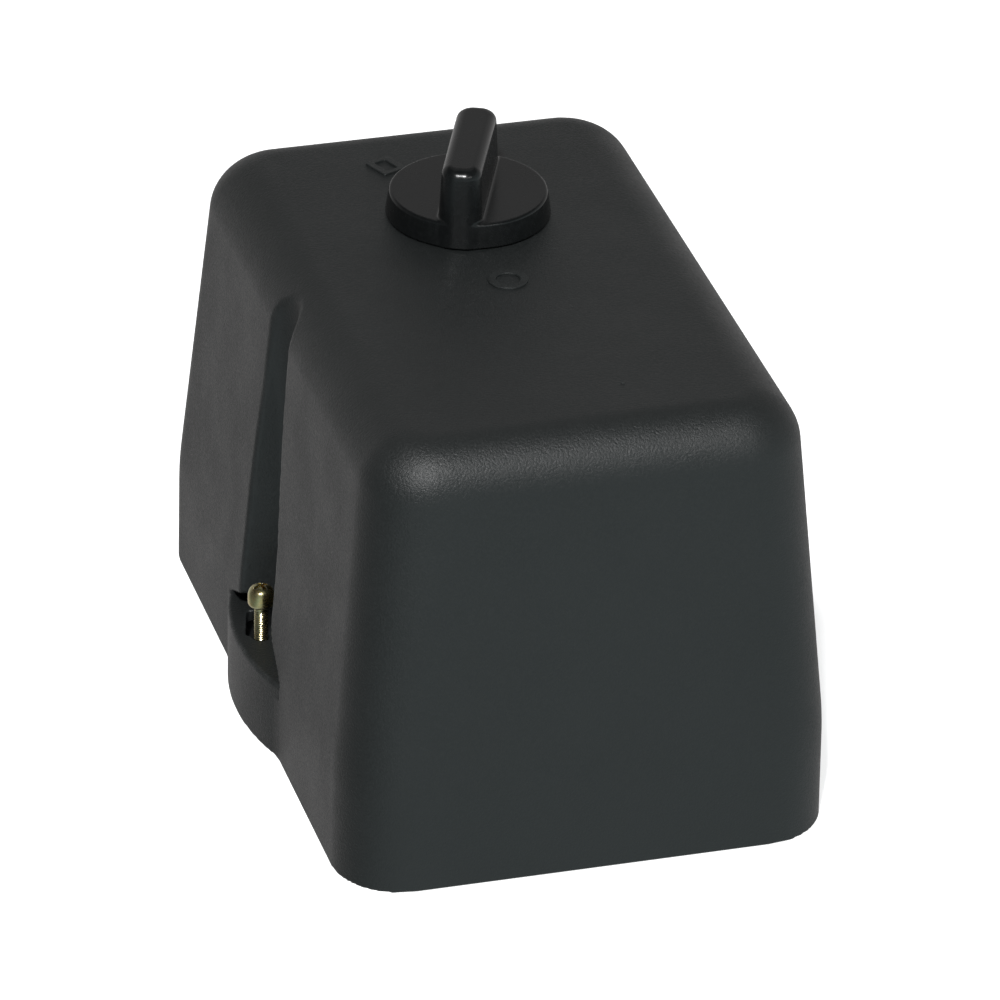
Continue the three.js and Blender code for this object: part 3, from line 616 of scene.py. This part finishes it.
# ------------------------------------------------------------------ hood screws
def screw_f(cx):
    def f(x, y, z):
        dx, dy = x - cx, y - SCREW_Y
        r = np.hypot(dx, dy)
        th = np.arctan2(dy, dx) / (2 * math.pi)
        h = SCREW_HEAD_Z
        # tall round head: upright wall under a full dome
        dome = np.sqrt(r * r + (z - (h + 5.2 - 3.3)) ** 2) - 3.3
        head = rmax(smax(r - 2.85, dome, 0.7), h - z, 1.1)
        # M3 thread, 0.5 mm pitch, fading into the plain neck
        ph = z / 0.5 - th
        tri = np.abs(ph - np.floor(ph) - 0.5) * 2
        fade = np.clip((h - 0.4 - z) / 0.5, 0, 1)
        shank = (r - (1.5 - 0.20 * tri * fade)) * 0.85
        shank = np.maximum(shank, np.maximum(8.4 - z, z - h - 0.5))
        shank = smax(shank, r - (z - 8.4 + 0.9), 0.1)
        f_ = np.minimum(head, shank)
        # cross recess, tapering inwards
        for a in (20, 110):
            ca, sa = math.cos(math.radians(a)), math.sin(math.radians(a))
            u, v = ca * dx + sa * dy, -sa * dx + ca * dy
            dep = z - (h + 3.1)
            wing = np.maximum(np.abs(u) - (0.95 + 0.40 * dep), np.abs(v) - (0.24 + 0.07 * dep))
            f_ = smax(f_, -np.maximum(wing, -dep), 0.08)
        return f_
    return f


sx = np.arange(-SCREW_X - 3.15, -SCREW_X + 3.2, 0.15)
sy = np.arange(SCREW_Y - 3.15, SCREW_Y + 3.2, 0.15)
sz = spaced((8.0, 16.0, 0.25), (16.0, 30.2, 0.14))
field_piece("hood_screw_fine", screw_f(-SCREW_X), sx, sy, sz, "hood_fastener", [M["zinc_yellow"]],
            wear_e=0.15, replaces=("hood_screw",))


# ------------------------------------------------------------------ carried-over CAD nodes: materials and softened edges
REC_SLOT = {s["node"]: s["material_slot"] for s in frame["record"]["subparts"]}
for name, ob in NODES.items():
    m = M[REC_SLOT[name]]
    if not ob.data.materials:
        ob.data.materials.append(m)
    for s in ob.material_slots:
        s.material = m
    if name not in ("hood", "knob", "hood_screw") and "spring" not in name:
        bv = ob.modifiers.new("edge", "BEVEL")
        bv.width = 0.00022
        bv.segments = 2
        bv.limit_method = "ANGLE"
        bv.angle_limit = math.radians(38)

# ------------------------------------------------------------------ floor, light, camera
bm = bmesh.new()
R_, H_ = 3.2, 2.6
prof = [(-2.6, 0.0)] + [(2.2 + 0.9 * math.sin(t), 0.9 - 0.9 * math.cos(t)) for t in np.linspace(0, math.pi / 2, 13)] + [(3.1, H_)]
cols = []
for x in (-3.2, 3.2):
    cols.append([bm.verts.new((x, y, z)) for y, z in prof])
for i in range(len(prof) - 1):
    bm.faces.new((cols[0][i], cols[1][i], cols[1][i + 1], cols[0][i + 1]))
me = bpy.data.meshes.new("studio_floor")
bm.to_mesh(me)
bm.free()
me.polygons.foreach_set("use_smooth", np.ones(len(me.polygons), bool))
floor = bpy.data.objects.new("studio_floor", me)
bpy.context.scene.collection.objects.link(floor)
fm, fnt, fb = new_mat("studio_paper")
fc = coords(fnt)
fcol = mix_col(fnt, ramp(fnt, tex_noise(fnt, fc, 3.0, 3.0), 0.3, 0.7), (0.90, 0.90, 0.90), (0.93, 0.93, 0.93))
fnt.links.new(fcol, fb.inputs["Base Color"])
fb.inputs["Roughness"].default_value = 0.9
fb.inputs["Specular IOR Level"].default_value = 0.1
fb.inputs["Emission Color"].default_value = (1.0, 1.0, 1.0, 1)
fb.inputs["Emission Strength"].default_value = 0.75
me.materials.append(fm)
floor.visible_diffuse = False
floor.visible_glossy = False

world = bpy.data.worlds.new("studio")
bpy.context.scene.world = world
world.use_nodes = True
# soft surroundings: bright from below and round the horizon (pale table), dim overhead and to the left
wnt = world.node_tree
wd = wnt.nodes.new("ShaderNodeTexCoord").outputs["Generated"]
sep = wnt.nodes.new("ShaderNodeSeparateXYZ")
wnt.links.new(wd, sep.inputs["Vector"])
height = ramp(wnt, sep.outputs["Z"], 0.42, 0.62, 1.0, 0.16)
low = ramp(wnt, sep.outputs["Z"], -0.20, 0.30, 1.0, 0.56)
side = ramp(wnt, sep.outputs["X"], -0.90, -0.50, 0.25, 1.0)
rear = ramp(wnt, sep.outputs["Y"], 0.10, 0.75, 1.0, 1.02)
lum = math_n(wnt, "MULTIPLY", math_n(wnt, "MULTIPLY", height, low), math_n(wnt, "MULTIPLY", side, rear))
lum = math_n(wnt, "MULTIPLY", lum, 0.56)
tone = ramp(wnt, sep.outputs["Y"], -0.4, 0.5, 0.0, 1.0)
wnt.links.new(mix_col(wnt, tone, (0.86, 1.0, 1.02), (1.0, 0.985, 0.98)), wnt.nodes["Background"].inputs["Color"])
wnt.links.new(lum, wnt.nodes["Background"].inputs["Strength"])


def area(name, loc, target, size, energy, color=(1, 1, 1), size_y=None):
    l = bpy.data.lights.new(name, "AREA")
    l.energy = energy
    l.color = color
    l.shape = "RECTANGLE" if size_y else "SQUARE"
    l.size = size
    if size_y:
        l.size_y = size_y
    o = bpy.data.objects.new(name, l)
    bpy.context.scene.collection.objects.link(o)
    o.location = loc
    o.rotation_mode = "QUATERNION"
    o.rotation_quaternion = (Vector(target) - Vector(loc)).to_track_quat("-Z", "Y")
    return o


area("key_front", (-0.47, -1.15, 1.47), (-0.034, -0.071, 0.093), 0.11, 31.0)
area("front_strip", (0.42, -1.35, 1.05), (0.0, -0.07, 0.09), 0.9, 1.8, size_y=0.25)
area("top_soft", (0.3, 0.9, 1.6), (0, 0, 0.0), 1.1, 0.6)

yaw, pitch, roll = 0.28508534627071996, 0.5134585005004021, 0.021069408718010975
cam_d = bpy.data.cameras.new("photo_camera")
cam = bpy.data.objects.new("photo_camera", cam_d)
bpy.context.scene.collection.objects.link(cam)
d = Vector((math.sin(yaw) * math.cos(pitch), math.cos(yaw) * math.cos(pitch), -math.sin(pitch)))
r = Vector((math.cos(yaw), -math.sin(yaw), 0))
u = r.cross(d)
right = r * math.cos(roll) + u * math.sin(roll)
up = -r * math.sin(roll) + u * math.cos(roll)
rot = Matrix((right, up, -d)).transposed().to_4x4()
cam.matrix_world = Matrix.Translation((-0.43019897, -1.47171542, 0.90824008)) @ rot
cam_d.sensor_width = 36.0
cam_d.sensor_fit = "HORIZONTAL"
cam_d.lens = 301.99682
cam_d.shift_x = 0.0005
cam_d.clip_start, cam_d.clip_end = 0.05, 20.0
bpy.context.scene.camera = cam
bpy.context.scene.view_settings.view_transform = "Standard"
bpy.context.scene.view_settings.look = "None"
